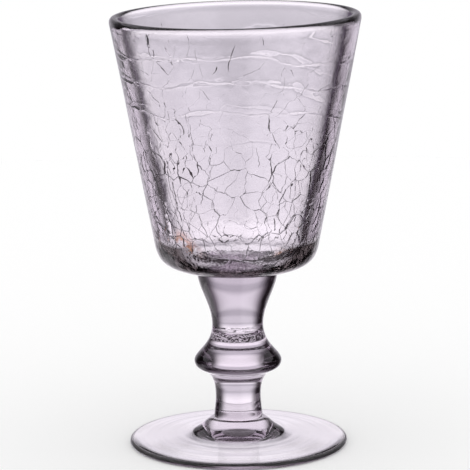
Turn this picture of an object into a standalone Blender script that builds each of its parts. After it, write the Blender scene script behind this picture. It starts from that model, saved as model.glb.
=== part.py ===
"""Crackled wine glass: a bowl, a stem with a knop and a round foot, blown as one piece of glass.

Metres, +Z up. The origin is the centre of the foot's underside, on the surface that the glass stands on.
The glass is turned about Z. Its rim stands a little higher on the +X side, and the hollow of the bowl
lies a little off the axis towards +X, as on a glass that was worked by hand.
"""

from math import ceil, cos, hypot, pi, radians, sin

import bmesh
import bpy
import numpy as np
from mathutils import Vector, noise

# The whole glass
HEIGHT = 0.150
TURN_STEPS = 48

# The foot, with a low boss that carries the stem
FOOT_RADIUS = 0.0379
FOOT_EDGE = 0.0018
FOOT_RISE = 0.0023
FOOT_HOLLOW_RADIUS = 0.0345
FOOT_HOLLOW_DEPTH = 0.0028
FOOT_HOLLOW_POWER = 1.3
FOOT_HOLLOW_STEPS = 4
BOSS_RADIUS = 0.0165

# The stem
STEM_FOOT_RADIUS = 0.0085
STEM_FOOT_HEIGHT = 0.0093
LOWER_WAIST_RADIUS = 0.0079
LOWER_WAIST_HEIGHT = 0.0165
KNOP_RADIUS = 0.0152
KNOP_HEIGHT = 0.0293
UPPER_WAIST_RADIUS = 0.0089
UPPER_WAIST_HEIGHT = 0.0420
STEM_TOP_RADIUS = 0.0140
STEM_TOP_HEIGHT = 0.0612

# How far each swept stretch of the outline keeps its end's direction, as a share of the stretch
FLARE_TOP_PULL = 0.31
FLARE_WAIST_PULL = 0.37
SHOULDER_WAIST_PULL = 0.58
SHOULDER_KNOP_PULL = 0.22
SKIRT_KNOP_PULL = 0.36
SKIRT_WAIST_PULL = 0.96
ANKLE_WAIST_PULL = 0.40
ANKLE_FOOT_PULL = 0.20
BOSS_TOP_PULL = 0.27
BOSS_FOOT_PULL = 0.44
BOSS_SLOPE = 0.12
UNDER_WALL_PULL = 0.65
UNDER_STEM_PULL = 0.77
UNDER_STEM_RISE = 0.17

# The bowl
BOWL_BASE_RADIUS = 0.0285
BOWL_BASE_HEIGHT = 0.0712
LIP_RADIUS = 0.0430
LIP_THICKNESS = 0.0035

# The hollow of the bowl
FLOOR_HEIGHT = 0.0665
FLOOR_DISH = 0.0010
FLOOR_CORNER = 0.0090
CAVITY_BASE_RADIUS = 0.0226
CAVITY_OFFSET = 0.0003
CAVITY_DEPTH_MARGIN = 0.0005
RIM_RISE = 0.00065

# The cracks in the bowl's outer skin
CRACK_COUNT = 64
CRACK_WIDTH = 0.0007
CRACK_TOP_GAP = 0.0080
CRACK_POINT_GAP = 0.0060
CRACK_WAVER = 0.0022
CRACK_WAVER_LENGTH = 0.0140
CRACK_TRIES = 5
CRACK_OFF_CENTRE = 0.14
CRACK_LOW_SHARE = 0.7
CRACK_SEED = 7

GLASS_COLOUR = (0.80, 0.76, 0.83, 1.0)
GLASS_ROUGHNESS = 0.03
GLASS_IOR = 1.5


def clear_scene():
    for obj in list(bpy.data.objects):
        bpy.data.objects.remove(obj, do_unlink=True)


def new_collection(name):
    collection = bpy.data.collections.new(name)
    bpy.context.scene.collection.children.link(collection)
    return collection


def glass_material():
    material = bpy.data.materials.new("lilac_glass")
    material.use_nodes = True
    shader = material.node_tree.nodes["Principled BSDF"]
    shader.inputs["Base Color"].default_value = GLASS_COLOUR
    shader.inputs["Roughness"].default_value = GLASS_ROUGHNESS
    shader.inputs["Metallic"].default_value = 0.0
    shader.inputs["IOR"].default_value = GLASS_IOR
    shader.inputs["Transmission Weight"].default_value = 1.0
    return material


def arc(centre, radius, start, end, count):
    """Points (radius, height) on a round stretch, from one angle in degrees to another."""
    return [
        (centre[0] + radius * cos(radians(angle)), centre[1] + radius * sin(radians(angle)))
        for angle in np.linspace(start, end, count)
    ]


def sweep(start, start_pull, end_pull, end, count):
    """Points on a cubic curve that leaves start towards start_pull and reaches end from end_pull.

    The start itself is left out, because the stretch before it ends there.
    """
    points = []
    for share in np.linspace(0.0, 1.0, count + 1)[1:]:
        rest = 1.0 - share
        weights = (rest**3, 3 * rest**2 * share, 3 * rest * share**2, share**3)
        corners = (start, start_pull, end_pull, end)
        points.append(tuple(sum(w * c[axis] for w, c in zip(weights, corners)) for axis in (0, 1)))
    return points


def upright_sweep(start, start_pull, end_pull, end, count):
    """A swept stretch that runs straight down at both its ends."""
    drop = start[1] - end[1]
    return sweep(
        start, (start[0], start[1] - start_pull * drop), (end[0], end[1] + end_pull * drop), end, count
    )


def straight(start, end, count):
    """Points on a straight stretch, without its start."""
    return [
        (start[0] + (end[0] - start[0]) * share, start[1] + (end[1] - start[1]) * share)
        for share in np.linspace(0.0, 1.0, count + 1)[1:]
    ]


def wall_angle(low, high):
    """Degrees by which a wall leans out from the vertical."""
    return np.degrees(np.arctan2(high[0] - low[0], high[1] - low[1]))


def lip_centre():
    return LIP_RADIUS - LIP_THICKNESS / 2, HEIGHT - LIP_THICKNESS / 2


def cavity_profile():
    """From the middle of the floor out to the rounded corner and up to the lip's inner side."""
    corner_centre = (CAVITY_BASE_RADIUS - FLOOR_CORNER, FLOOR_HEIGHT + FLOOR_CORNER)
    lip_inside = (LIP_RADIUS - LIP_THICKNESS, lip_centre()[1])
    lean = wall_angle((CAVITY_BASE_RADIUS, corner_centre[1]), lip_inside)
    floor = [(0.0, FLOOR_HEIGHT - FLOOR_DISH), (corner_centre[0] / 2, FLOOR_HEIGHT - FLOOR_DISH / 2)]
    corner = arc(corner_centre, FLOOR_CORNER, -90, -lean, 6)
    wall = straight(corner[-1], lip_inside, 4)
    return floor + corner + wall[:-1], lean


def bowl_profile():
    """From the lip's inner side over the top, down the wall and in under the bowl to the stem."""
    base = (BOWL_BASE_RADIUS, BOWL_BASE_HEIGHT)
    lean = wall_angle(base, (LIP_RADIUS, lip_centre()[1]))
    lip = arc(lip_centre(), LIP_THICKNESS / 2, 180 - cavity_profile()[1], -lean, 8)
    wall = straight(lip[-1], base, 5)
    stem_top = (STEM_TOP_RADIUS, STEM_TOP_HEIGHT)
    depth = BOWL_BASE_HEIGHT - STEM_TOP_HEIGHT
    reach = BOWL_BASE_RADIUS - STEM_TOP_RADIUS
    drop = UNDER_WALL_PULL * depth
    wall_end = (base[0] - drop * sin(radians(lean)), base[1] - drop)
    stem_end = (stem_top[0] + UNDER_STEM_PULL * reach, stem_top[1] + UNDER_STEM_RISE * depth)
    return lip + wall + sweep(base, wall_end, stem_end, stem_top, 8)


def stem_profile():
    """From the bowl down through the upper waist, the knop and the lower waist to the stem's end."""
    top = (STEM_TOP_RADIUS, STEM_TOP_HEIGHT)
    upper = (UPPER_WAIST_RADIUS, UPPER_WAIST_HEIGHT)
    knop = (KNOP_RADIUS, KNOP_HEIGHT)
    lower = (LOWER_WAIST_RADIUS, LOWER_WAIST_HEIGHT)
    end = (STEM_FOOT_RADIUS, STEM_FOOT_HEIGHT)
    return (
        upright_sweep(top, FLARE_TOP_PULL, FLARE_WAIST_PULL, upper, 7)
        + upright_sweep(upper, SHOULDER_WAIST_PULL, SHOULDER_KNOP_PULL, knop, 7)
        + upright_sweep(knop, SKIRT_KNOP_PULL, SKIRT_WAIST_PULL, lower, 8)
        + upright_sweep(lower, ANKLE_WAIST_PULL, ANKLE_FOOT_PULL, end, 3)
    )


def foot_profile():
    """From the stem's end down the boss, out over the foot, round its edge and in underneath."""
    edge = FOOT_EDGE / 2
    edge_centre = (FOOT_RADIUS - edge, edge)
    stem_end = (STEM_FOOT_RADIUS, STEM_FOOT_HEIGHT)
    boss_end = (BOSS_RADIUS, FOOT_EDGE + FOOT_RISE)
    reach = BOSS_RADIUS - STEM_FOOT_RADIUS
    drop = stem_end[1] - boss_end[1]
    boss = sweep(
        stem_end,
        (stem_end[0] + BOSS_TOP_PULL * reach, stem_end[1] - BOSS_SLOPE * drop),
        (boss_end[0] - BOSS_FOOT_PULL * reach, boss_end[1] + BOSS_SLOPE * drop),
        boss_end,
        6,
    )
    top = straight(boss_end, (edge_centre[0], FOOT_EDGE), 2)
    rim = arc(edge_centre, edge, 90, -90, 6)
    hollow = [
        (FOOT_HOLLOW_RADIUS * out, FOOT_HOLLOW_DEPTH * (1.0 - out**FOOT_HOLLOW_POWER))
        for out in np.linspace(1.0, 0.0, FOOT_HOLLOW_STEPS)
    ]
    return boss + top + rim[1:] + hollow


def turned_glass():
    """The section of the whole glass, turned about Z and made a mesh."""
    section = cavity_profile()[0] + bowl_profile() + stem_profile() + foot_profile()
    mesh = bpy.data.meshes.new("glass_section")
    mesh.from_pydata(
        [(radius, 0.0, height) for radius, height in section],
        [(index, index + 1) for index in range(len(section) - 1)],
        [],
    )
    guide = bpy.data.objects.new("glass_section", mesh)
    bpy.context.scene.collection.objects.link(guide)
    screw = guide.modifiers.new("turn", "SCREW")
    screw.axis = "Z"
    screw.angle = 2 * pi
    screw.steps = TURN_STEPS
    screw.render_steps = TURN_STEPS
    screw.use_merge_vertices = True
    screw.merge_threshold = 0.00001
    bpy.context.view_layer.update()
    turned = bpy.data.meshes.new_from_object(guide.evaluated_get(bpy.context.evaluated_depsgraph_get()))
    bpy.data.objects.remove(guide, do_unlink=True)
    return turned


def work_by_hand(mesh):
    """Raises the rim's +X side and moves the hollow off the axis, both by vertex moves.

    The rim's rise grows with the square of the height above the bowl's base. The hollow's offset is full
    at the floor and fades evenly to nothing at the lip.
    """
    points = np.empty(len(mesh.vertices) * 3)
    mesh.vertices.foreach_get("co", points)
    points = points.reshape(-1, 3)
    radius = np.hypot(points[:, 0], points[:, 1])
    up_bowl = np.clip((points[:, 2] - BOWL_BASE_HEIGHT) / (HEIGHT - BOWL_BASE_HEIGHT), 0.0, 1.0)
    middle = (cavity_radius(points[:, 2]) + wall_radius(points[:, 2])) / 2
    lowest = FLOOR_HEIGHT - FLOOR_DISH - CAVITY_DEPTH_MARGIN
    inside = (points[:, 2] > lowest) & (radius < middle)
    points[:, 0] += np.where(inside, CAVITY_OFFSET * (1.0 - up_bowl), 0.0)
    points[:, 2] += RIM_RISE * up_bowl**2 * points[:, 0] / LIP_RADIUS
    mesh.vertices.foreach_set("co", points.ravel())
    mesh.update()


def wall_radius(height):
    """The outer wall's radius at a height, on its straight stretch carried on both ways."""
    rise = lip_centre()[1] - BOWL_BASE_HEIGHT
    return BOWL_BASE_RADIUS + (LIP_RADIUS - BOWL_BASE_RADIUS) * (height - BOWL_BASE_HEIGHT) / rise


def cavity_radius(height):
    """The inner wall's radius at a height, on its straight stretch carried on both ways."""
    low = FLOOR_HEIGHT + FLOOR_CORNER
    rise = lip_centre()[1] - low
    return CAVITY_BASE_RADIUS + (LIP_RADIUS - LIP_THICKNESS - CAVITY_BASE_RADIUS) * (height - low) / rise


def area(plate):
    following = np.roll(plate, -1, axis=0)
    return abs(np.sum(plate[:, 0] * following[:, 1] - plate[:, 1] * following[:, 0])) / 2


def cut_across(plate, level_shift, turn):
    """Cuts a convex outline by a line near its middle, and returns its two halves and the cut's two ends."""
    side = (plate - plate.mean(axis=0)) @ np.array((-sin(turn), cos(turn)))
    side = side - level_shift * (side.max() - side.min())
    halves = ([], [])
    cut = []
    for index in range(len(plate)):
        after = (index + 1) % len(plate)
        halves[int(side[index] > 0)].append(plate[index])
        if side[index] * side[after] < 0:
            share = side[index] / (side[index] - side[after])
            crossing = plate[index] + (plate[after] - plate[index]) * share
            cut.append(crossing)
            halves[0].append(crossing)
            halves[1].append(crossing)
    return np.array(halves[0]), np.array(halves[1]), cut


def halve(plate, chance):
    """Cracks a plate along the shortest of a few chance cuts, as a crack takes the short way across."""
    tries = [
        cut_across(plate, chance.uniform(-CRACK_OFF_CENTRE, CRACK_OFF_CENTRE), chance.uniform(0.0, pi))
        for _ in range(CRACK_TRIES)
    ]
    return min(tries, key=lambda halves: hypot(*(halves[2][1] - halves[2][0])))


def crack_cuts(low, high):
    """Straight cuts over the unrolled bowl: the plate with the largest area is always the next to crack.

    A place is (way round at the middle height, height). The upper third of the bowl counts for less,
    because the glass cracked less there.
    """
    chance = np.random.default_rng(CRACK_SEED)
    girth = 2 * pi * wall_radius((low + high) / 2)
    plates = [np.array(((0.0, low), (girth, low), (girth, high), (0.0, high)))]
    cuts = [(np.array((0.0, low)), np.array((0.0, high)))]
    while len(cuts) < CRACK_COUNT:
        ups = [(plate[:, 1].mean() - low) / (high - low) for plate in plates]
        sizes = [area(plate) * (1.0 - CRACK_LOW_SHARE * up) for plate, up in zip(plates, ups)]
        first, second, cut = halve(plates.pop(int(np.argmax(sizes))), chance)
        plates += [first, second]
        cuts.append(tuple(cut))
    return cuts, girth


def crack_point(place, girth, low, high):
    """The point on the bowl's skin for a place on the unrolled wall, shifted by a smooth waver."""
    turn = pi / 2 + 2 * pi * place[0] / girth
    radius = wall_radius(place[1])
    spot = Vector((radius * cos(turn), radius * sin(turn), place[1]))
    shift = noise.noise_vector(spot / CRACK_WAVER_LENGTH) * CRACK_WAVER
    height = min(max(place[1] + shift.z, low), high)
    radius = wall_radius(height)
    turn += shift.x / radius
    return radius * cos(turn), radius * sin(turn), height


def crack_cutter(collection):
    """One thin four-sided tube along each crack, half sunk in the skin, so that it cuts a V-shaped groove."""
    low = BOWL_BASE_HEIGHT
    high = HEIGHT - CRACK_TOP_GAP
    cuts, girth = crack_cuts(low, high)
    curve = bpy.data.curves.new("crack_lines", "CURVE")
    curve.dimensions = "3D"
    curve.bevel_depth = CRACK_WIDTH / 2
    curve.bevel_resolution = 0
    curve.use_fill_caps = True
    for start, end in cuts:
        length = hypot(*(end - start))
        count = max(2, ceil(length / CRACK_POINT_GAP) + 1)
        places = [start + (end - start) * share for share in np.linspace(0.0, 1.0, count)]
        spline = curve.splines.new("POLY")
        spline.points.add(count - 1)
        for point, place in zip(spline.points, places):
            point.co = (*crack_point(place, girth, low, high), 1.0)
    guide = bpy.data.objects.new("crack_lines", curve)
    bpy.context.scene.collection.objects.link(guide)
    bpy.context.view_layer.update()
    mesh = bpy.data.meshes.new_from_object(guide.evaluated_get(bpy.context.evaluated_depsgraph_get()))
    bpy.data.objects.remove(guide, do_unlink=True)
    shape = bmesh.new()
    shape.from_mesh(mesh)
    bmesh.ops.remove_doubles(shape, verts=shape.verts, dist=0.000001)
    shape.to_mesh(mesh)
    shape.free()
    cutter = bpy.data.objects.new("crack_cutter", mesh)
    cutter.hide_render = True
    cutter.display_type = "WIRE"
    collection.objects.link(cutter)
    return cutter


def main():
    clear_scene()
    parts = new_collection("wine_glass")
    cutters = new_collection("cutters")
    mesh = turned_glass()
    work_by_hand(mesh)
    mesh.shade_smooth()
    mesh.set_sharp_from_angle(angle=radians(35))
    mesh.materials.clear()
    mesh.materials.append(glass_material())
    glass = bpy.data.objects.new("wine_glass", mesh)
    parts.objects.link(glass)
    cracks = glass.modifiers.new("cracks", "BOOLEAN")
    cracks.operation = "DIFFERENCE"
    cracks.solver = "EXACT"
    cracks.use_self = True
    cracks.object = crack_cutter(cutters)


main()
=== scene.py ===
"""Looks of the crackled wine glass: clear lilac glass, fissures in the bowl's skin, and a white studio.

Metres, +Z up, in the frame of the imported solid. The viewer looks along +Y and a little down.
"""

import itertools
import logging
from collections import defaultdict
from dataclasses import dataclass, field
from enum import Enum

import bmesh
import bpy
import numpy as np
from mathutils import Matrix, Vector
from mathutils.geometry import delaunay_2d_cdt


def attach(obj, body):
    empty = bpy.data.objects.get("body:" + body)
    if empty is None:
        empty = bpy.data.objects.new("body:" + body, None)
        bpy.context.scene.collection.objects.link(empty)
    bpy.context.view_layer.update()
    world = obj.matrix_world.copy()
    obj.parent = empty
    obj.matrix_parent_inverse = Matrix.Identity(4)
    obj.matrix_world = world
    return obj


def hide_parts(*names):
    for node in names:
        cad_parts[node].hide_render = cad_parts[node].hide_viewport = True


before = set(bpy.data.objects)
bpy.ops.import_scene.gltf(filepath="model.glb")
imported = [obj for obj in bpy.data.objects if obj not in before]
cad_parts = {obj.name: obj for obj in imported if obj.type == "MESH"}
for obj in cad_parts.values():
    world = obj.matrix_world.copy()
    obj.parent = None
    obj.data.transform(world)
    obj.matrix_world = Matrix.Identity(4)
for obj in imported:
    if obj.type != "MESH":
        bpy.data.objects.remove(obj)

logging.basicConfig(level=logging.INFO, format="%(message)s")
LOG = logging.getLogger("wine_glass")
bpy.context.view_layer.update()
NODE = "wine_glass"
WHITE = (1.0, 1.0, 1.0, 1.0)

Array = np.ndarray
Socket = bpy.types.NodeSocket
Pair = tuple[float, float]
Colour = tuple[float, float, float]
Zone = tuple[float, float, float]
Place = Pair | Array


class Side(Enum):
    """Which skin of the glass a stretch of the outline belongs to."""

    HOLLOW = 0
    OUTER = 1


def sweep(start: Place, start_pull: Place, end_pull: Place, end: Place, count: int) -> Array:
    """Points on a cubic curve that leaves start towards start_pull and reaches end from end_pull.

    At a share s of the way, the four points are blended by (1-s)^3, 3 (1-s)^2 s, 3 (1-s) s^2 and s^3.

    Args:
        start: where the curve begins, as (radius, height).
        start_pull: the point that the curve first heads for.
        end_pull: the point that the curve comes from at its end.
        end: where the curve ends.
        count: how many points to return. The start itself is left out.

    Returns:
        The (radius, height) rows.
    """
    share = np.linspace(0.0, 1.0, count + 1)[1:, None]
    rest = 1.0 - share
    start, start_pull, end_pull, end = (np.asarray(p, float) for p in (start, start_pull, end_pull, end))
    from_start = rest**3 * start + 3 * rest**2 * share * start_pull
    return from_start + 3 * rest * share**2 * end_pull + share**3 * end


def arc(centre: Place, radius: float, start: float, end: float, count: int) -> Array:
    """Points on a round stretch: centre + radius (cos a, sin a), with the angle a going from start to end.

    Args:
        centre: the middle of the round, as (radius, height).
        radius: its radius.
        start: the first angle, in degrees upwards from outwards.
        end: the last angle.
        count: how many points to return, both ends among them.

    Returns:
        The (radius, height) rows.
    """
    angle = np.radians(np.linspace(start, end, count))
    return np.stack([centre[0] + radius * np.cos(angle), centre[1] + radius * np.sin(angle)], axis=1)


def straight(start: Place, end: Place, count: int) -> Array:
    """Points on a straight stretch: (1-s) start + s end, with the share s going up to 1 in even steps.

    Args:
        start: where the stretch begins, as (radius, height). It is left out itself.
        end: where the stretch ends.
        count: how many points to return.

    Returns:
        The (radius, height) rows.
    """
    share = np.linspace(0.0, 1.0, count + 1)[1:, None]
    return np.asarray(start, float) * (1.0 - share) + np.asarray(end, float) * share


@dataclass
class Outline:
    """Half of the section through the glass, as (radius, height) rows from the hollow's floor to the foot.

    The pulls say how far a curved stretch runs on in the direction of its ends, as shares of its reach and
    its drop. The stem's stretches also have their numbers of points.
    """

    height: float = 0.150
    foot_radius: float = 0.0379
    foot_edge: float = 0.0018
    foot_rise: float = 0.0023
    foot_hollow_radius: float = 0.0345
    foot_hollow_depth: float = 0.0028
    foot_hollow_power: float = 1.3
    boss_radius: float = 0.0165
    boss_start_pull: Pair = (0.27, -0.12)
    boss_end_pull: Pair = (-0.44, 0.12)
    stem_foot: Pair = (0.0085, 0.0093)
    lower_waist: Pair = (0.0079, 0.0165)
    knop: Pair = (0.0152, 0.0293)
    upper_waist: Pair = (0.0089, 0.0420)
    stem_top: Pair = (0.0140, 0.0612)
    stem_pulls: tuple[tuple[float, float, int], ...] = (
        (0.31, 0.37, 18),
        (0.58, 0.22, 18),
        (0.36, 0.96, 22),
        (0.40, 0.20, 8),
    )
    bowl_base: Pair = (0.0285, 0.0712)
    wall_pull: float = 0.65
    under_pull: Pair = (0.77, 0.17)
    lip_radius: float = 0.0430
    lip_thickness: float = 0.0035
    lip_start: float = 166.0
    lip_squareness: float = 0.80
    floor_height: float = 0.0665
    floor_dish: float = 0.0010
    floor_corner: float = 0.0090
    cavity_base_radius: float = 0.0226

    def lip_centre(self) -> Pair:
        """The middle of the rounded lip, as (radius, height)."""
        return self.lip_radius - self.lip_thickness / 2, self.height - self.lip_thickness / 2

    def cavity(self) -> Array:
        """From the middle of the floor out to its rounded corner and up to the lip.

        The floor rises from its middle by floor_dish times the square of the share of the way out.

        Returns:
            The (radius, height) rows.
        """
        centre = (self.cavity_base_radius - self.floor_corner, self.floor_height + self.floor_corner)
        lip_inside = np.array((self.lip_radius - self.lip_thickness, self.lip_centre()[1]))
        lean = np.degrees(np.arctan2(lip_inside[0] - self.cavity_base_radius, lip_inside[1] - centre[1]))
        middle = np.array((0.0, self.floor_height - self.floor_dish))
        corner = arc(centre, self.floor_corner, -90, -lean, count=14)
        across = np.linspace(0.0, 1.0, num=9)[:-1, None]
        floor = middle * (1 - across) + corner[0] * across
        floor[:, 1] = middle[1] + self.floor_dish * across[:, 0] ** 2
        return np.concatenate([floor, corner, straight(corner[-1], lip_inside, count=30)[:-1]])

    def bowl(self) -> Array:
        """From the lip's inner side over the top, down the wall and in under the bowl to the stem.

        The lip is a circle of radius 1 with its coordinates raised to the power lip_squareness, signs kept,
        and is then scaled to half the lip's thickness.

        Returns:
            The (radius, height) rows.
        """
        base = np.array(self.bowl_base)
        top = np.array(self.stem_top)
        lean = np.arctan2(self.lip_radius - base[0], self.lip_centre()[1] - base[1])
        round_lip = arc((0.0, 0.0), 1.0, self.lip_start, -np.degrees(lean), count=18)
        squared = np.sign(round_lip) * np.abs(round_lip) ** self.lip_squareness
        lip = np.array(self.lip_centre()) + self.lip_thickness / 2 * squared
        wall = straight(lip[-1], base, count=40)
        reach, depth = base - top
        wall_end = base - self.wall_pull * depth * np.array((np.sin(lean), 1.0))
        under_end = top + np.array((reach, depth)) * self.under_pull
        return np.concatenate([lip, wall, sweep(base, wall_end, under_end, top, count=20)])

    def upright(self, start: Place, end: Place, start_pull: float, end_pull: float, count: int) -> Array:
        """A swept stretch that runs straight down at both its ends.

        Args:
            start: its upper end, as (radius, height).
            end: its lower end.
            start_pull: how far it is drawn down from its start, as a share of its drop.
            end_pull: how far it is drawn up from its end.
            count: how many points to return.

        Returns:
            The (radius, height) rows.
        """
        drop = start[1] - end[1]
        below = (start[0], start[1] - start_pull * drop)
        return sweep(start, below, (end[0], end[1] + end_pull * drop), end, count)

    def stem(self) -> Array:
        """From the bowl down through the upper waist, the knop and the lower waist to the stem's end.

        Returns:
            The (radius, height) rows.
        """
        ends = (self.stem_top, self.upper_waist, self.knop, self.lower_waist, self.stem_foot)
        stretches = zip(ends[:-1], ends[1:], self.stem_pulls)
        return np.concatenate([self.upright(upper, lower, *pulls) for upper, lower, pulls in stretches])

    def foot(self) -> Array:
        """From the stem's end down the boss, out over the foot, round its edge and in underneath.

        The hollow underneath rises from its ring by foot_hollow_depth (1 - s^foot_hollow_power), where s is
        the radius as a share of the ring's.

        Returns:
            The (radius, height) rows.
        """
        edge = self.foot_edge / 2
        stem_end = np.array(self.stem_foot)
        boss_end = np.array((self.boss_radius, self.foot_edge + self.foot_rise))
        span = np.array((boss_end[0] - stem_end[0], stem_end[1] - boss_end[1]))
        stem_pull = stem_end + span * self.boss_start_pull
        boss = sweep(stem_end, stem_pull, boss_end + span * self.boss_end_pull, boss_end, count=14)
        top = straight(boss_end, (self.foot_radius - edge, self.foot_edge), count=6)
        rim = arc((self.foot_radius - edge, edge), edge, 90, -90, count=14)[1:]
        ring = straight(rim[-1], (self.foot_hollow_radius, 0.0), count=2)
        inward = np.linspace(1.0, 0.0, num=15)[1:]
        arch = self.foot_hollow_depth * (1 - inward**self.foot_hollow_power)
        hollow = np.stack([self.foot_hollow_radius * inward, arch], axis=1)
        return np.concatenate([boss, top, rim, ring, hollow])

    def points(self) -> tuple[Array, Array]:
        """The whole outline, from the middle of the hollow's floor to the middle of the foot's underside.

        Returns:
            The (radius, height) rows, and for each of them the side of the glass that it lies on.
        """
        cavity = self.cavity()
        rest = np.concatenate([self.bowl(), self.stem(), self.foot()])
        sides = np.repeat([Side.HOLLOW.value, Side.OUTER.value], [len(cavity), len(rest)])
        return np.concatenate([cavity, rest]), sides


@dataclass
class Waver:
    """A smooth chance field in space: a sum of sine waves whose directions and starts come from a seed."""

    seed: int
    length: float
    waves: int = 6

    def at(self, points: Array) -> Array:
        """The field's value: the sum of sin(direction . point + start) over the root of the number of waves.

        Args:
            points: an array of (x, y, z) rows.

        Returns:
            One value for each row, mostly between -1 and 1.
        """
        chance = np.random.default_rng(self.seed)
        ways = chance.normal(size=(self.waves, 3))
        ways *= 2 * np.pi / self.length / np.linalg.norm(ways, axis=1, keepdims=True)
        starts = chance.uniform(0, 2 * np.pi, self.waves)
        return np.sin(points @ ways.T + starts).sum(axis=1) / np.sqrt(self.waves)


@dataclass(frozen=True)
class Crack:
    """One straight crack on the unrolled skin.

    It has two ends, a width and a depth in metres, a pass in which it is cut, and for each end whether
    it thins out to nothing there. It leans to one side by a share of its depth.
    """

    ends: Array
    width: float
    depth: float
    turn: int
    thins: tuple[bool, bool] = (False, False)
    lean: float = 0.0


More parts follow.
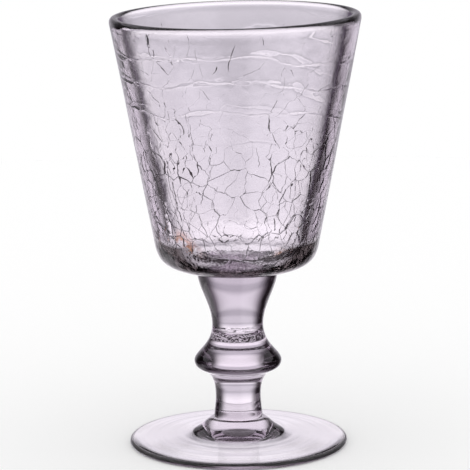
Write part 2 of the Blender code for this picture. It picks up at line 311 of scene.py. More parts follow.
@dataclass
class CrackNet:
    """The fissures in the bowl's outer skin, as thin wedges that are cut out of the goblet.

    The skin is unrolled to (way round, way up from under the bowl). Chance seeds that keep their distance
    from one another each own the plate nearest to them, and the cracks run between the plates. The plates
    belong to larger blocks, and the cracks between two blocks are the strong ones. From calm_start to
    calm_full of the way up, the net gets calm: its cracks shrink to calm_width and calm_depth of their
    size, and calm_missing of them are left out.

    A stop of spread is (share of the way up, size of the plates), a lone crack is (right, height) of its
    two ends as seen from the front, and a wave of the net is (seed, size, length).
    """

    outline: Outline = field(default_factory=Outline)
    skin_start: float = 0.80
    top_gap: float = 0.0050
    seed: int = 7
    plates: int = 570
    blocks: int = 40
    tries: int = 4
    first_place: Pair = (0.5, 0.3)
    seed_zone: Pair = (-0.06, 1.06)
    spread: tuple[Pair, ...] = ((0.0, 0.70), (0.30, 0.95), (0.60, 1.25), (1.0, 1.6))
    same_place: float = 1e-9
    key_digits: int = 6
    missing: float = 0.06
    calm_start: float = 0.50
    calm_full: float = 0.70
    calm_width: float = 0.035
    calm_depth: float = 0.45
    calm_missing: float = 0.45
    strong_width: Pair = (0.00011, 0.00018)
    weak_width: Pair = (0.00004, 0.00010)
    strong_depth: Pair = (0.0009, 0.0016)
    weak_depth: Pair = (0.0004, 0.0010)
    lone_width: float = 0.00024
    lone_depth: float = 0.0011
    lone_lean: float = 0.40
    lone: tuple[tuple[float, float, float, float], ...] = (
        (0.0003, 0.1446, -0.0005, 0.1408),
        (-0.0004, 0.1410, -0.0019, 0.1366),
        (-0.0068, 0.1385, -0.0085, 0.1360),
        (0.0185, 0.1362, 0.0200, 0.1340),
        (0.0088, 0.1468, 0.0091, 0.1440),
        (-0.0290, 0.1472, -0.0288, 0.1435),
    )
    waves: tuple[tuple[int, float, float], ...] = (
        (11, 0.0009, 0.0130),
        (13, 0.00034, 0.0038),
        (15, 0.00017, 0.0017),
    )
    point_gap: float = 0.0008
    least_points: int = 4
    taper_speed: float = 1.6
    taper_least: float = 0.02
    vary_seed: int = 21
    vary_length: float = 0.007
    vary_size: float = 0.55
    vary_limits: Pair = (0.25, 1.7)
    stand_out: float = 0.00010
    lean: float = 0.05

    def __post_init__(self) -> None:
        """Reads the skin off the outline: its points, the way along it and its girth half way up."""
        bowl = self.outline.bowl()[::-1]
        start = int(np.argmax(bowl[:, 0] > self.skin_start * self.outline.bowl_base[0]))
        end = int(np.argmax(bowl[:, 1] > self.outline.lip_centre()[1]))
        self.skin = bowl[start:end]
        self.way = np.concatenate([[0.0], np.cumsum(np.linalg.norm(np.diff(self.skin, axis=0), axis=1))])
        self.high = self.way[-1] - self.top_gap
        self.girth = 2 * np.pi * float(np.interp(self.high / 2, self.way, self.skin[:, 0]))

    def calm(self, climb: Array) -> Array:
        """0 in the lower bowl, where the crackle is at its full strength, and 1 where it is hair-thin."""
        return np.clip((climb / self.high - self.calm_start) / (self.calm_full - self.calm_start), 0.0, 1.0)

    def apart(self, places: Array, others: Array) -> Array:
        """The distances on the unrolled skin, taken the short way round the bowl.

        Args:
            places: an array of (way round, way up) rows.
            others: another such array.

        Returns:
            An array with a row for each of the places and a column for each of the others.
        """
        off = np.abs(places[:, None] - others)
        off[..., 0] = np.minimum(off[..., 0], self.girth - off[..., 0])
        return np.linalg.norm(off, axis=2)

    def scatter(self, count: int, chance: np.random.Generator) -> Array:
        """Seeds over the skin: each is the one of a few chance places that is farthest from the rest.

        Args:
            count: how many seeds to return.
            chance: the source of the places.

        Returns:
            An array of (way round, way up) rows.
        """
        seeds = np.array([[self.first_place[0] * self.girth, self.first_place[1] * self.high]])
        low, high = (share * self.high for share in self.seed_zone)
        while len(seeds) < count:
            places = chance.uniform((0.0, low), (self.girth, high), (self.tries, 2))
            scale = np.interp(places[:, 1] / self.high, *np.transpose(self.spread))
            room = self.apart(places, seeds).min(axis=1) / scale
            seeds = np.vstack([seeds, places[int(np.argmax(room))]])
        return seeds

    def borders(self, seeds: Array) -> tuple[Array, Array, Array]:
        """The straight borders between the plates.

        The corners where borders meet are the centres of the circles through three neighbouring seeds. The
        seeds are laid out three times side by side, so that the net closes round the bowl.

        Args:
            seeds: one (way round, way up) row for each plate.

        Returns:
            The corners, the two corner numbers of each border, and the numbers of the two plates that the
            border parts.
        """
        spread = np.concatenate([seeds + (step * self.girth, 0.0) for step in (-1, 0, 1)])
        corners = np.array(delaunay_2d_cdt([Vector(p) for p in spread], [], [], 0, self.same_place)[2])
        a, b, c = (spread[corners[:, k]] for k in range(3))
        ab, ac = b - a, c - a
        twice = 2 * (ab[:, 0] * ac[:, 1] - ab[:, 1] * ac[:, 0])
        ab2, ac2 = (ab**2).sum(axis=1), (ac**2).sum(axis=1)
        x = (ac[:, 1] * ab2 - ab[:, 1] * ac2) / twice
        y = (ab[:, 0] * ac2 - ac[:, 0] * ab2) / twice
        centre = a + np.stack([x, y], axis=1)
        sides = np.concatenate([corners[:, [0, 1]], corners[:, [1, 2]], corners[:, [2, 0]]])
        owner = np.tile(np.arange(len(corners)), 3)
        _, which = np.unique(np.sort(sides, axis=1), axis=0, return_inverse=True)
        order = np.argsort(which.ravel(), kind="stable")
        which = which.ravel()[order]
        pair = np.flatnonzero(which[1:] == which[:-1])
        first, second = order[pair], order[pair + 1]
        ends = np.stack([owner[first], owner[second]], axis=1)
        around, climb = centre[ends].mean(axis=1).T
        kept = (around >= 0) & (around < self.girth) & (climb > 0) & (climb < self.high)
        return centre, ends[kept], sides[first][kept] % len(seeds)

    def crackle(self) -> list[Crack]:
        """The cracks between the plates, but for a few that are missing.

        Cracks that share a corner are given different passes, so that the wedges of a pass never cross.

        Returns:
            The cracks.
        """
        chance = np.random.default_rng(self.seed)
        seeds = self.scatter(self.plates, chance)
        blocks = self.scatter(self.blocks, chance)
        block = self.apart(seeds, blocks).argmin(axis=1)
        centre, ends, plates = self.borders(seeds)
        found, used = [], defaultdict(set)
        for (first, second), (one, other) in zip(ends, plates):
            strong = block[one] != block[other]
            places = centre[[first, second]]
            calm = float(self.calm(places[:, 1].mean()))
            if chance.uniform() < (0.0 if strong else self.missing) + self.calm_missing * calm:
                continue
            inside = np.clip(places, (-np.inf, 0.0), (np.inf, self.high))
            corners = [(p[0] % self.girth, p[1]) for p in places]
            keys = [tuple(round(value, self.key_digits) for value in corner) for corner in corners]
            turn = next(k for k in itertools.count() if all(k not in used[key] for key in keys))
            for key in keys:
                used[key].add(turn)
            width = chance.uniform(*(self.strong_width if strong else self.weak_width))
            depth = chance.uniform(*(self.strong_depth if strong else self.weak_depth))
            width *= 1.0 - (1.0 - self.calm_width) * calm
            depth *= 1.0 - (1.0 - self.calm_depth) * calm
            thins = tuple(bool(p[1] > self.high) for p in places)
            found.append(Crack(inside, width, depth, turn, thins))
        return found

    def lone_cracks(self, turn: int) -> list[Crack]:
        """The single cracks high up, which thin out at both ends and run slantwise into the glass.

        An end lies at the angle arcsin(right / radius at its height) from the front.

        Args:
            turn: the first free pass. It and the next one share the cracks, since two of them touch.

        Returns:
            The cracks.
        """
        found = []
        for number, (right, height, right_end, height_end) in enumerate(self.lone):
            heights = np.array((height, height_end))
            reach = np.interp(heights, self.skin[:, 1], self.skin[:, 0])
            around = (0.5 + np.arcsin(np.array((right, right_end)) / reach) / (2 * np.pi)) * self.girth
            ends = np.stack([around, np.interp(heights, self.skin[:, 1], self.way)], axis=1)
            own_turn = turn + number % 2
            lone = Crack(ends, self.lone_width, self.lone_depth, own_turn, (True, True), self.lone_lean)
            found.append(lone)
        return found

    def cracks(self) -> list[Crack]:
        """All cracks: those of the crackle and the lone ones high up."""
        crackle = self.crackle()
        return crackle + self.lone_cracks(max(crack.turn for crack in crackle) + 1)

    def shift(self, spot: Array, which: int) -> Array:
        """The smooth shift of the cracks at each place: round the skin (which = 0) or up it (which = 1)."""
        return sum(size * Waver(seed + which, length).at(spot) for seed, size, length in self.waves)

    def on_skin(self, turn: Array, climb: Array) -> tuple[Array, Array]:
        """Places on the skin: (radius cos turn, radius sin turn, height), read off the skin at the way up.

        Args:
            turn: the angles round the axis, in radians.
            climb: the ways up the skin.

        Returns:
            The (x, y, z) places, and the outward directions there.
        """
        slope = np.gradient(self.skin, self.way, axis=0)
        radius, height = (np.interp(climb, self.way, self.skin[:, axis]) for axis in (0, 1))
        out, up = (np.interp(climb, self.way, slope[:, axis]) for axis in (0, 1))
        spot = np.stack([radius * np.cos(turn), radius * np.sin(turn), height], axis=1)
        outward = np.stack([up * np.cos(turn), up * np.sin(turn), -out], axis=1)
        return spot, outward / np.linalg.norm(outward, axis=1, keepdims=True)

    def wedge(self, crack: Crack, chance: np.random.Generator) -> Array:
        """One fissure as a closed wedge: rings of two points proud of the skin and one deep in the glass.

        The line is shifted by the net's waves. The width is tapered by the root of the share of the way
        from an end that thins out, and varied by 1 plus a smooth chance value.

        Args:
            crack: the crack on the unrolled skin.
            chance: the source of the crack's lean.

        Returns:
            An array of shape (points, 3, 3).
        """
        first, last = crack.ends
        count = max(self.least_points, int(np.linalg.norm(last - first) / self.point_gap))
        share = np.linspace(0.0, 1.0, count)[:, None]
        flat = first * (1 - share) + last * share
        turn = np.pi / 2 + 2 * np.pi * flat[:, 0] / self.girth
        spot, _ = self.on_skin(turn, flat[:, 1])
        radius = np.hypot(spot[:, 0], spot[:, 1])
        climb = np.clip(flat[:, 1] + self.shift(spot, 1), 0.0, self.way[-1])
        spot, outward = self.on_skin(turn + self.shift(spot, 0) / radius, climb)
        along = np.gradient(spot, axis=0)
        along /= np.linalg.norm(along, axis=1, keepdims=True)
        across = np.cross(outward, along)
        taper = np.ones_like(share)
        for thins, from_end in zip(crack.thins, (share, 1.0 - share)):
            if thins:
                taper *= np.sqrt(np.clip(from_end * self.taper_speed, self.taper_least, 1.0))
        uneven = Waver(self.vary_seed, self.vary_length).at(spot)[:, None]
        width = crack.width * taper * np.clip(1.0 + self.vary_size * uneven, *self.vary_limits)
        top = spot + outward * self.stand_out
        lean = crack.lean + chance.uniform(-self.lean, self.lean)
        deep = spot - outward * crack.depth * taper + across * crack.depth * lean * taper
        return np.stack([top + across * width / 2, top - across * width / 2, deep], axis=1)

    def cutter(self, wedges: list[Array], material: bpy.types.Material) -> bpy.types.Object:
        """A set of wedges that don't cross one another, as one mesh for cutting out of the goblet.

        Args:
            wedges: the wedges' points, each an array of shape (points, 3, 3).
            material: the finish that the cut walls take over.

        Returns:
            The cutter.
        """
        vertices, faces, first = [], [], 0
        for rings in wedges:
            count = len(rings)
            index = first + np.arange(count)[:, None] * 3 + np.arange(3)
            for a, b in ((0, 1), (1, 2), (2, 0)):
                sides = [index[:-1, a], index[:-1, b], index[1:, b], index[1:, a]]
                faces += np.stack(sides, axis=1).tolist()
            faces += [index[0, ::-1].tolist(), index[-1].tolist()]
            vertices.append(rings.reshape(-1, 3))
            first += 3 * count
        mesh = bpy.data.meshes.new("crack_wedges")
        mesh.from_pydata(np.concatenate(vertices).tolist(), [], faces)
        mesh.materials.append(material)
        shape = bmesh.new()
        shape.from_mesh(mesh)
        bmesh.ops.recalc_face_normals(shape, faces=shape.faces)
        shape.to_mesh(mesh)
        shape.free()
        cutter = bpy.data.objects.new("crack_wedges", mesh)
        bpy.context.scene.collection.objects.link(cutter)
        return cutter

    def cut_into(self, goblet: bpy.types.Object, material: bpy.types.Material) -> int:
        """Cuts the fissures out of the goblet, pass by pass, and gives their walls the material.

        Args:
            goblet: the goblet's object, whose mesh is replaced.
            material: the finish of the fissures' walls.

        Returns:
            The number of cracks.
        """
        chance = np.random.default_rng(self.seed + 2)
        cracks = self.cracks()
        for turn in sorted({crack.turn for crack in cracks}):
            wedges = [self.wedge(crack, chance) for crack in cracks if crack.turn == turn]
            cutter = self.cutter(wedges, material)
            cut = goblet.modifiers.new("cracks", "BOOLEAN")
            cut.operation = "DIFFERENCE"
            cut.solver = "MANIFOLD"
            cut.material_mode = "TRANSFER"
            cut.object = cutter
            graph = bpy.context.evaluated_depsgraph_get()
            cracked = bpy.data.meshes.new_from_object(goblet.evaluated_get(graph))
            goblet.modifiers.clear()
            goblet.data = cracked
            bpy.data.objects.remove(cutter, do_unlink=True)
        return len(cracks)


@dataclass
class NodeKit:
    """Short ways to add nodes to a tree and link them. A value is a number, a colour or a node's socket."""

    tree: bpy.types.NodeTree

    def add(self, kind: str, *values: object) -> bpy.types.Node:
        """Adds a node.

        Args:
            kind: the node's type.
            values: what its first inputs are linked or set to, in order.

        Returns:
            The node.
        """
        node = self.tree.nodes.new(kind)
        for socket, value in zip(node.inputs, values):
            self.put(socket, value)
        return node

    def put(self, socket: Socket, value: object) -> None:
        """Links an input to a socket or sets it to a value.

        Args:
            socket: the input.
            value: the socket or the value.
        """
        if isinstance(value, Socket):
            self.tree.links.new(value, socket)
        else:
            socket.default_value = value

    def math(self, operation: str, *values: object) -> Socket:
        """The result of a Math node.

        Args:
            operation: the node's operation.
            values: its inputs.

        Returns:
            Its result.
        """
        node = self.add("ShaderNodeMath", *values)
        node.operation = operation
        return node.outputs[0]

    def smooth(self, value: object, low: float, high: float) -> Socket:
        """A smooth step.

        Args:
            value: what steps.
            low: where the step starts at 0.
            high: where it ends at 1.

        Returns:
            The step.
        """
        node = self.add("ShaderNodeMapRange", value, low, high)
        node.interpolation_type = "SMOOTHSTEP"
        return node.outputs["Result"]

    def step(self, value: object, place: float, edge: float) -> Socket:
        """A smooth step of a given width round a place."""
        return self.smooth(value, place - edge / 2, place + edge / 2)

    def mix(self, share: object, first: object, second: object) -> Socket:
        """A blend of two colours.

        Args:
            share: 0 for the first colour and 1 for the second.
            first: the first colour.
            second: the second colour.

        Returns:
            The blend.
        """
        node = self.add("ShaderNodeMix")
        node.data_type = "RGBA"
        colours = [socket for socket in node.inputs if socket.type == "RGBA"]
        self.put(node.inputs[0], share)
        self.put(colours[0], first)
        self.put(colours[1], second)
        return next(socket for socket in node.outputs if socket.type == "RGBA")

    def noise(self, place: object, scale: float, detail: float = 2.0) -> Socket:
        """A smooth chance value, about -1 to 1.

        Args:
            place: where it is read.
            scale: its fineness per metre.
            detail: how many finer layers it has.

        Returns:
            The value.
        """
        node = self.add("ShaderNodeTexNoise", place)
        node.inputs["Scale"].default_value = scale
        node.inputs["Detail"].default_value = detail
        return self.math("MULTIPLY_ADD", node.outputs["Fac"], 2.0, -1.0)

    def between(self, value: object, low: float, high: float, edge: float) -> Socket:
        """A mask with soft edges: 1 between two values and 0 beyond them.

        Args:
            value: what is tested.
            low: the lower limit.
            high: the upper limit.
            edge: how wide the soft edges are.

        Returns:
            The mask.
        """
        return self.math("SUBTRACT", self.step(value, low, edge), self.step(value, high, edge))

    def ramp(self, rise: object, stops: tuple[tuple[float, Colour], ...]) -> Socket:
        """A colour for each rise above the horizon, found at the ramp's place (rise + 90) / 180.

        Args:
            rise: the rise, in degrees.
            stops: the (rise, colour) of each stop. The first two take the ramp's own two stops.

        Returns:
            The colour.
        """
        node = self.add("ShaderNodeValToRGB", self.math("DIVIDE", self.math("ADD", rise, 90.0), 180.0))
        elements = node.color_ramp.elements
        for number, (stop, colour) in enumerate(stops):
            place = (stop + 90.0) / 180.0
            element = elements[number] if number < 2 else elements.new(place)
            element.position = place
            element.color = (*colour, 1.0)
        return node.outputs["Color"]


@dataclass(frozen=True)
class Unevenness:
    """The fine unevenness of the glass, as a height in metres that bump turns into light and shade.

    A pattern is (fineness per metre, height in metres), the tool lines are (distance, height), a zone is
    (lowest z, highest z, width of its soft edges), and a start is (place, width of its soft edge).
    """

    mottle: Pair = (150.0, 0.000035)
    bowl_start: Pair = (0.0620, 0.004)
    tool_lines: Pair = (0.0092, 0.000050)
    tool_line_zone: Zone = (0.1120, 0.1450, 0.008)
    tool_line_power: float = 9.0
    tool_line_drift: Pair = (20.0, 0.012)
    tool_line_gaps: Pair = (-0.60, 0.10)
    gap_fineness: float = 60.0
    base_lumps: Pair = (420.0, 0.00012)
    base_zone: Zone = (0.0625, 0.0735, 0.0020)
    stem_ring: Pair = (1000.0, 0.00022)
    stem_ring_zone: Zone = (0.0376, 0.0400, 0.0004)
    stem_ring_grains: Pair = (-0.05, 0.20)
    stem_ring_fray: Pair = (700.0, 0.0006)
    foot_rings: Pair = (130.0, 0.000045)
    foot_zone: Zone = (-0.001, 0.0050, 0.001)
    hollow_floor: float = 0.0645
    mid_wall: Pair = (0.0103, 0.208)
    lip_start: Pair = (0.1480, 0.0006)
    lip_share: float = 0.5
    foot_edge_start: Pair = (0.0366, 0.0004)
    foot_edge_height: float = 0.003

    def heights(self, kit: NodeKit, place: Socket, radius: Socket) -> Socket:
        """The height: the sum of all patterns, each times the mask of its zone.

        A tool line is (1 - |sin(pi (z + drift) / distance)|) to a power, so it is a sharp level crest.

        Args:
            kit: the nodes of the group.
            place: the place on the goblet.
            radius: its distance from the axis.

        Returns:
            The height.
        """
        z = kit.add("ShaderNodeSeparateXYZ", place).outputs[2]
        on_bowl = kit.step(z, *self.bowl_start)
        size = kit.math("MULTIPLY", on_bowl, self.mottle[1])
        total = kit.math("MULTIPLY", kit.noise(place, self.mottle[0]), size)
        drift = kit.noise(place, self.tool_line_drift[0], 4.0)
        drift = kit.math("MULTIPLY", drift, self.tool_line_drift[1])
        phase = kit.math("MULTIPLY", kit.math("ADD", z, drift), np.pi / self.tool_lines[0])
        crest = kit.math("SUBTRACT", 1.0, kit.math("ABSOLUTE", kit.math("SINE", phase)))
        broken = kit.smooth(kit.noise(place, self.gap_fineness), *self.tool_line_gaps)
        lines = kit.math("MULTIPLY", kit.math("POWER", crest, self.tool_line_power), broken)
        lumps = kit.noise(place, self.base_lumps[0], 3.0)
        grit = kit.smooth(kit.noise(place, self.stem_ring[0]), *self.stem_ring_grains)
        fray = kit.math("MULTIPLY", kit.noise(place, self.stem_ring_fray[0]), self.stem_ring_fray[1])
        ringed = kit.add("ShaderNodeCombineXYZ", radius, 0.0, 0.0).outputs[0]
        rings = kit.noise(ringed, self.foot_rings[0])
        on_stem = kit.between(kit.math("ADD", z, fray), *self.stem_ring_zone)
        for pattern, zone, size in (
            (lines, kit.between(z, *self.tool_line_zone), self.tool_lines[1]),
            (lumps, kit.between(z, *self.base_zone), self.base_lumps[1]),
            (grit, on_stem, self.stem_ring[1]),
            (rings, kit.between(z, *self.foot_zone), self.foot_rings[1]),
        ):
            total = kit.math("MULTIPLY_ADD", kit.math("MULTIPLY", pattern, zone), size, total)
        return total

    def group(self) -> bpy.types.NodeTree:
        """The unevenness as a node group.

        The hollow is what lies above its floor and nearer to the axis than the middle of the wall, whose
        radius is mid_wall[0] + mid_wall[1] z.

        Returns:
            The group. It gives the height, a mask of the hollow and one of the lip and the foot's edge.
        """
        tree = bpy.data.node_groups.new("uneven_glass", "ShaderNodeTree")
        for name in ("Height", "Hollow", "Edge"):
            tree.interface.new_socket(name, in_out="OUTPUT", socket_type="NodeSocketFloat")
        kit = NodeKit(tree)
        place = kit.add("ShaderNodeTexCoord").outputs["Object"]
        x, y, z = kit.add("ShaderNodeSeparateXYZ", place).outputs
        radius = kit.math("SQRT", kit.math("ADD", kit.math("MULTIPLY", x, x), kit.math("MULTIPLY", y, y)))
        middle = kit.math("MULTIPLY_ADD", z, self.mid_wall[1], self.mid_wall[0])
        above_floor = kit.math("GREATER_THAN", z, self.hollow_floor)
        inside = kit.math("MULTIPLY", kit.math("LESS_THAN", radius, middle), above_floor)
        low_down = kit.math("LESS_THAN", z, self.foot_edge_height)
        on_foot = kit.math("MULTIPLY", kit.step(radius, *self.foot_edge_start), low_down)
        edge = kit.math("MULTIPLY_ADD", kit.step(z, *self.lip_start), self.lip_share, on_foot)
        kit.add("NodeGroupOutput", self.heights(kit, place, radius), inside, edge)
        return tree


@dataclass(frozen=True)
class PaintedShade:
    """A painted shade: a darker colour that the glass goes over where it is looked at along its skin,
    standing in for the dark bands that bent light makes there.

    It comes in between the two facing values, on one side of the glass and between two heights.
    """

    colour: Colour
    facing: Pair
    side: Side
    zone: Pair
    edge: float = 0.0015


@dataclass(frozen=True)
class PaintedReflection:
    """A painted reflection: an amber streak in the glass's colour, standing in for a warm-coloured thing
    around the glass that shows in it. It has its colour, middle, radius and the fineness of its streaks per
    metre.

    It is full within a share of its radius, and streaked where a smooth chance value passes two limits.
    """

    colour: Colour
    place: tuple[float, float, float]
    radius: float
    scale: float = 260.0
    core: float = 0.3
    limits: Pair = (-0.25, 0.15)


@dataclass(frozen=True)
class GlassFinish:
    """Clear glass that takes up green light along its depth, so that thick places look lilac."""

    name: str
    tint: Colour = (1.0, 1.0, 1.0)
    roughness: float = 0.0
    ior: float = 1.5
    transmission: float = 0.995
    edge_roughness: float = 0.28
    take_up: Colour = (0.60, 0.45, 0.60)
    density: float = 20.0
    shades: tuple[PaintedShade, ...] = ()
    painted_reflections: tuple[PaintedReflection, ...] = ()

    def colour(self, kit: NodeKit, hollow: Socket) -> object:
        """The tint, with the painted shades and the painted reflections laid over it in order.

        Args:
            kit: the material's nodes.
            hollow: the mask of the hollow.

        Returns:
            The tint itself, or the socket of the colour.
        """
        place = kit.add("ShaderNodeTexCoord").outputs["Object"]
        z = kit.add("ShaderNodeSeparateXYZ", place).outputs[2]
        facing = kit.add("ShaderNodeLayerWeight").outputs["Facing"]
        colour = (*self.tint, 1.0)
        # Painted shade: the colour goes darker where the glass is looked at along its skin, within each
        # zone.
        for shade in self.shades:
            side = hollow if shade.side is Side.HOLLOW else kit.math("SUBTRACT", 1.0, hollow)
            along = kit.smooth(facing, *shade.facing)
            share = kit.math("MULTIPLY", along, kit.between(z, *shade.zone, shade.edge))
            colour = kit.mix(kit.math("MULTIPLY", share, side), colour, (*shade.colour, 1.0))
        # Painted reflection: amber laid into the colour round a point, standing in for a warm-coloured thing
        # around the glass.
        for painted_reflection in self.painted_reflections:
            away = kit.add("ShaderNodeVectorMath", place, painted_reflection.place)
            away.operation = "DISTANCE"
            off = kit.smooth(away.outputs["Value"], painted_reflection.core * painted_reflection.radius, painted_reflection.radius)
            streak = kit.smooth(kit.noise(place, painted_reflection.scale), *painted_reflection.limits)
            share = kit.math("MULTIPLY", kit.math("SUBTRACT", 1.0, off), streak)
            colour = kit.mix(share, colour, (*painted_reflection.colour, 1.0))
        return colour

    def material(self, uneven: bpy.types.NodeTree) -> bpy.types.Material:
        """The finish as a node material.

        Args:
            uneven: the node group of the fine unevenness.

        Returns:
            The material.
        """
        material = bpy.data.materials.new(self.name)
        material.use_nodes = True
        kit = NodeKit(material.node_tree)
        shader = kit.tree.nodes["Principled BSDF"]
        surface = kit.add("ShaderNodeGroup")
        surface.node_tree = uneven
        kit.put(shader.inputs["Base Color"], self.colour(kit, surface.outputs["Hollow"]))
        roughness = kit.math("MULTIPLY_ADD", surface.outputs["Edge"], self.edge_roughness, self.roughness)
        kit.put(shader.inputs["Roughness"], roughness)
        shader.inputs["IOR"].default_value = self.ior
        shader.inputs["Transmission Weight"].default_value = self.transmission
        bump = kit.add("ShaderNodeBump")
        bump.inputs["Distance"].default_value = 1.0
        kit.put(bump.inputs["Height"], surface.outputs["Height"])
        kit.put(shader.inputs["Normal"], bump.outputs["Normal"])
        if self.density > 0.0:
            depth = kit.add("ShaderNodeVolumeAbsorption")
            depth.inputs["Color"].default_value = (*self.take_up, 1.0)
            depth.inputs["Density"].default_value = self.density
            kit.put(kit.tree.nodes["Material Output"].inputs["Volume"], depth.outputs["Volume"])
        return material


LILAC_GLASS = GlassFinish(
    "lilac_glass",
    # Painted shades, in order: the dark band along the hollow's side of the bowl's wall, the darker sides of
    # the bowl, the dark brownish band round its base, the dark sides and underside of the knop, and the
    # darker sides of the upper and the lower stem.
    shades=(
        PaintedShade((0.03, 0.022, 0.035), (0.45, 0.80), Side.HOLLOW, (0.0745, 0.2)),
        PaintedShade((0.42, 0.38, 0.43), (0.36, 0.58), Side.OUTER, (0.0745, 0.2)),
        PaintedShade((0.040, 0.032, 0.029), (0.02, 0.38), Side.OUTER, (0.0625, 0.0735)),
        PaintedShade((0.060, 0.050, 0.060), (0.06, 0.32), Side.OUTER, (0.0272, 0.0345)),
        PaintedShade((0.12, 0.10, 0.12), (0.12, 0.45), Side.OUTER, (0.0405, 0.0612)),
        PaintedShade((0.12, 0.10, 0.12), (0.12, 0.45), Side.OUTER, (0.0100, 0.0205)),
    ),
    # Painted reflections: amber patches low in the bowl, standing in for a warm-coloured thing around the
    # glass that shows in it.
    painted_reflections=(
        PaintedReflection((0.60, 0.19, 0.06), (-0.0165, -0.0137, 0.0742), 0.0075),
        PaintedReflection((0.60, 0.19, 0.06), (-0.0136, -0.0150, 0.0705), 0.0072),
        PaintedReflection((0.70, 0.28, 0.12), (0.0138, -0.0160, 0.0708), 0.0050),
    ),
)
# The crack walls' dark tint is painted shade: it stands in for the dark lines that the fissures make by
# turning the light away.
CRACK_WALLS_PAINTED_SHADE = GlassFinish("crack_walls_painted_shade", tint=(0.08, 0.06, 0.08), roughness=0.05, density=0.0)


def grid_mesh(name: str, points: Array) -> bpy.types.Mesh:
    """A closed turned mesh from a grid of rings, whose first and last rings are single points on the axis.

    Args:
        name: the mesh's name.
        points: an array of shape (rings, steps, 3). Each ring runs anticlockwise seen from above, and the
            rings follow the outline from the inside out, so that the faces point away from the glass.

    Returns:
        The mesh, with one point at each pole.
    """
    rings, steps = points.shape[:2]
    inner = points[1:-1].reshape(-1, 3)
    vertices = np.concatenate([points[:1, 0], inner, points[-1:, 0]])
    ring = 1 + np.arange(rings - 2)[:, None] * steps + np.arange(steps)[None, :]
    after = np.roll(ring, -1, axis=1)
    quads = np.stack([ring[:-1], ring[1:], after[1:], after[:-1]], axis=-1).reshape(-1, 4)
    first = np.stack([np.zeros(steps, int), after[0], ring[0]], axis=-1)[:, ::-1]
    last = np.stack([np.full(steps, len(vertices) - 1), ring[-1], after[-1]], axis=-1)[:, ::-1]
    mesh = bpy.data.meshes.new(name)
    mesh.from_pydata(vertices.tolist(), [], first.tolist() + quads.tolist() + last.tolist())
    mesh.update()
    return mesh


@dataclass
class Goblet:
    """The glass itself: the outline carried round the axis, then made uneven as hand work leaves it."""

    outline: Outline = field(default_factory=Outline)
    steps: int = 180
    cavity_offset: float = 0.0003
    rim_rise: float = 0.00065
    inner_wave: float = 0.00012
    outer_wave: float = 0.00005
    wave_seed: int = 3
    wave_length: float = 0.030
    wave_squeeze: float = 1.4
    wave_fade: float = 0.004
    wave_start: float = 0.5
    inset: float = 0.00004
    sharp_angle: float = 35.0

    def points(self) -> Array:
        """The surface as a grid: (radius(s) cos a, radius(s) sin a, height(s)) with s along the outline.

        The radius gets slow waves, stronger on the hollow's wall. The hollow is moved towards +X, fully at
        its floor and not at all at the lip, and the rim's +X side is raised with the square of the height
        above the bowl's base.

        Returns:
            An array of shape (points of the outline, steps round the axis, 3).
        """
        outline, sides = self.outline.points()
        angle = np.linspace(0.0, 2 * np.pi, self.steps, endpoint=False)
        radius = outline[:, :1] - np.where(outline[:, :1] > self.inset, self.inset, 0.0)
        height = np.repeat(outline[:, 1:], self.steps, axis=1)
        place = np.stack([radius * np.cos(angle), radius * np.sin(angle), height], axis=-1)
        hollow = (sides == Side.HOLLOW.value)[:, None]
        base, top, lip = self.outline.bowl_base[1], self.outline.height, self.outline.lip_centre()[1]
        up = np.clip((height - base) / (top - base), 0.0, 1.0)
        squeezed = place.reshape(-1, 3) * (1, 1, self.wave_squeeze)
        slow = Waver(self.wave_seed, self.wave_length).at(squeezed).reshape(height.shape)
        from_base = np.clip((height - base) / self.wave_fade, 0, 1)
        on_wall = from_base * np.clip((lip - height) / self.wave_fade, 0, 1)
        on_wall = on_wall * (radius > self.wave_start * self.outline.bowl_base[0])
        shift = np.where(hollow, self.inner_wave, self.outer_wave) * slow
        place[..., 0] += shift * on_wall * np.cos(angle)
        place[..., 1] += shift * on_wall * np.sin(angle)
        place[..., 0] += np.where(hollow, self.cavity_offset * (1.0 - up), 0.0)
        place[..., 2] += self.rim_rise * up**2 * place[..., 0] / self.outline.lip_radius
        return place

    def build(self) -> bpy.types.Object:
        """Makes the goblet's object, without its cracks.

        Returns:
            The object.
        """
        goblet = bpy.data.objects.new("goblet", grid_mesh("goblet", self.points()))
        bpy.context.scene.collection.objects.link(goblet)
        LOG.info("goblet before its cracks: %d faces", len(goblet.data.polygons))
        return goblet

    def dress(self, goblet: bpy.types.Object, net: CrackNet, uneven: bpy.types.NodeTree) -> None:
        """Gives the goblet its glass, cuts the cracks into it and shades it smooth up to sharp_angle.

        Args:
            goblet: the object from build.
            net: the cracks.
            uneven: the node group of the fine unevenness.
        """
        goblet.data.materials.append(LILAC_GLASS.material(uneven))
        number = net.cut_into(goblet, CRACK_WALLS_PAINTED_SHADE.material(uneven))
        goblet.data.shade_smooth()
        goblet.data.set_sharp_from_angle(angle=np.radians(self.sharp_angle))
        triangles = sum(len(face.vertices) - 2 for face in goblet.data.polygons)
        LOG.info("goblet with %d cracks: %d triangles", number, triangles)


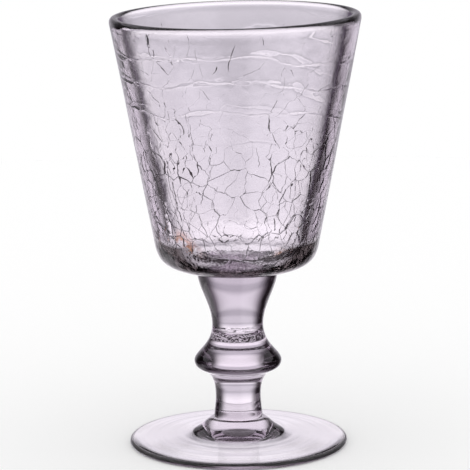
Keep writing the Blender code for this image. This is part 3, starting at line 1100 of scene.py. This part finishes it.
@dataclass(frozen=True)
class Panel:
    """A white panel of the studio, in degrees: turn from +Y towards +X, and rise above the horizon.

    It reaches half_width to both sides of its turn, from low to high, and fades over side_edge and edge.
    Some are seen only through a single wall of the bowl, as when one looks in over the lip.
    """

    turn: float
    half_width: float
    low: float
    high: float
    side_edge: float = 8.0
    edge: float = 3.0
    level: float = 1.0
    through_one_wall: bool = False

    def mask(self, kit: NodeKit, turn: Socket, rise: Socket) -> Socket:
        """The panel's level where one looks at it and 0 elsewhere, with soft edges.

        Args:
            kit: the nodes of the world.
            turn: the turn of the direction that is looked in.
            rise: the rise of that direction.

        Returns:
            The mask.
        """
        away = kit.math("WRAP", kit.math("SUBTRACT", turn, self.turn), 180.0, -180.0)
        away = kit.math("ABSOLUTE", away)
        within = kit.math("SUBTRACT", 1.0, kit.step(away, self.half_width, self.side_edge))
        mask = kit.math("MULTIPLY", within, kit.between(rise, self.low, self.high, self.edge))
        return kit.math("MULTIPLY", mask, self.level)


@dataclass
class Studio:
    """The camera at the photo's view, a pale floor, and a surround of white panels in a dark room.

    The panels have the backdrop's colours, given as (rise above the horizon in degrees, colour). What the
    outer skin mirrors of them in the dim zone of rise has the dim colour instead.
    """

    camera_distance: float = 0.948
    camera_height: float = 0.2613
    camera_side: float = -0.00067
    camera_pitch: float = 11.209
    camera_roll: float = 0.50
    focal_pixels: float = 2799.5
    image_side: float = 470.0
    sensor: float = 36.0
    floor_radius: float = 0.60
    floor_sides: int = 128
    floor_drop: float = 0.0002
    room: Colour = (0.040, 0.030, 0.036)
    dim_zone: Pair = (8.0, 21.0)
    dim_edge: float = 4.0
    dim_colour: Colour = (0.40, 0.375, 0.41)
    one_wall_depth: float = 4.0
    panels: tuple[Panel, ...] = (
        Panel(0.0, 34.0, -75.0, 19.0, side_edge=24.0),
        Panel(135.0, 28.0, -75.0, 19.0, side_edge=16.0),
        Panel(-45.0, 26.0, -44.0, -25.0, edge=2.0),
        Panel(-45.0, 34.0, -29.0, -12.0, level=0.50, through_one_wall=True),
        Panel(-90.0, 22.0, -12.0, 5.0),
        Panel(0.0, 200.0, 25.0, 95.0),
    )
    backdrop: tuple[tuple[float, Colour], ...] = (
        (-90.0, (0.70, 0.66, 0.72)),
        (90.0, (0.12, 0.11, 0.12)),
        (-45.0, (0.85, 0.80, 0.87)),
        (-30.0, (1.08, 1.02, 1.10)),
        (-18.0, (1.20, 1.14, 1.22)),
        (-14.5, (1.03, 0.975, 1.05)),
        (-13.0, (0.93, 0.88, 0.96)),
        (-11.5, (0.87, 0.82, 0.905)),
        (-10.0, (0.71, 0.67, 0.745)),
        (-9.0, (0.60, 0.565, 0.63)),
        (-6.0, (0.76, 0.715, 0.79)),
        (1.0, (0.75, 0.705, 0.78)),
        (3.5, (0.58, 0.545, 0.61)),
        (7.5, (0.58, 0.545, 0.61)),
        (11.0, (0.97, 0.92, 1.00)),
        (19.0, (1.00, 0.945, 1.03)),
        (25.0, (0.64, 0.60, 0.66)),
        (42.0, (0.62, 0.585, 0.645)),
        (50.0, (0.12, 0.11, 0.12)),
    )

    def camera(self) -> None:
        """Sets the camera where the photo was taken from."""
        data = bpy.data.cameras.new("camera")
        data.sensor_width = self.sensor
        data.lens = self.focal_pixels / self.image_side * self.sensor
        camera = bpy.data.objects.new("camera", data)
        camera.location = (self.camera_side, -self.camera_distance, self.camera_height)
        pitch = Matrix.Rotation(np.radians(90.0 - self.camera_pitch), 3, "X")
        roll = Matrix.Rotation(np.radians(-self.camera_roll), 3, "Z")
        camera.rotation_euler = (pitch @ roll).to_euler()
        bpy.context.scene.collection.objects.link(camera)
        bpy.context.scene.camera = camera

    def floor(self) -> None:
        """Lays a white matt floor that the glass doesn't see: a flat disc, with its points on a circle."""
        angle = np.linspace(0.0, 2 * np.pi, self.floor_sides, endpoint=False)
        level = np.full_like(angle, -self.floor_drop)
        around = self.floor_radius * np.cos(angle), self.floor_radius * np.sin(angle)
        rim = np.stack([*around, level], axis=1)
        mesh = bpy.data.meshes.new("floor")
        mesh.from_pydata(rim.tolist(), [], [list(range(len(rim)))])
        floor = bpy.data.objects.new("floor", mesh)
        floor.visible_transmission = False
        floor.visible_glossy = False
        bpy.context.scene.collection.objects.link(floor)
        material = bpy.data.materials.new("pale_floor")
        material.use_nodes = True
        shader = material.node_tree.nodes["Principled BSDF"]
        shader.inputs["Base Color"].default_value = WHITE
        shader.inputs["Roughness"].default_value = 1.0
        shader.inputs["Specular IOR Level"].default_value = 0.0
        mesh.materials.append(material)

    def surround(self) -> None:
        """Makes the world: white to the viewer and the floor, and to the glass white panels in a dark room.

        A refracted ray counts as a glossy one too, so only a ray that is glossy and isn't transmitted was
        mirrored by the outer skin. A ray that has come through one wall has crossed two surfaces.
        """
        world = bpy.data.worlds.new("studio")
        bpy.context.scene.world = world
        world.use_nodes = True
        kit = NodeKit(world.node_tree)
        world.node_tree.nodes.clear()
        way = kit.add("ShaderNodeTexCoord").outputs["Generated"]
        x, y, z = kit.add("ShaderNodeSeparateXYZ", way).outputs
        turn = kit.math("DEGREES", kit.math("ARCTAN2", x, y))
        rise = kit.math("DEGREES", kit.math("ARCSINE", z))
        ray = kit.add("ShaderNodeLightPath").outputs
        one_wall = kit.math("LESS_THAN", ray["Ray Depth"], self.one_wall_depth)
        lit = 0.0
        for panel in self.panels:
            mask = panel.mask(kit, turn, rise)
            mask = kit.math("MULTIPLY", mask, one_wall) if panel.through_one_wall else mask
            lit = kit.math("MAXIMUM", lit, mask)
        outside = kit.math("SUBTRACT", ray["Is Glossy Ray"], ray["Is Transmission Ray"])
        outside = kit.math("MAXIMUM", outside, 0.0)
        mirrored = kit.math("MULTIPLY", kit.between(rise, *self.dim_zone, self.dim_edge), outside)
        panel_colour = kit.mix(mirrored, kit.ramp(rise, self.backdrop), (*self.dim_colour, 1.0))
        by_glass = kit.math("MAXIMUM", ray["Is Glossy Ray"], ray["Is Transmission Ray"])
        colour = kit.mix(by_glass, WHITE, kit.mix(lit, (*self.room, 1.0), panel_colour))
        background = kit.add("ShaderNodeBackground", colour)
        output = kit.add("ShaderNodeOutputWorld", background.outputs[0])
        output.is_active_output = True

    def build(self) -> None:
        """Sets up the whole studio."""
        self.camera()
        self.floor()
        self.surround()
        bpy.context.scene.view_settings.view_transform = "Standard"
        LOG.info("studio: camera, floor and surround with %d panels", len(self.panels))


def main() -> None:
    """Builds the studio and the goblet."""
    Studio().build()
    maker = Goblet()
    goblet = maker.build()
    maker.dress(goblet, CrackNet(), Unevenness().group())
    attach(goblet, "root")
    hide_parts(NODE)


if __name__ == "__main__":
    main()
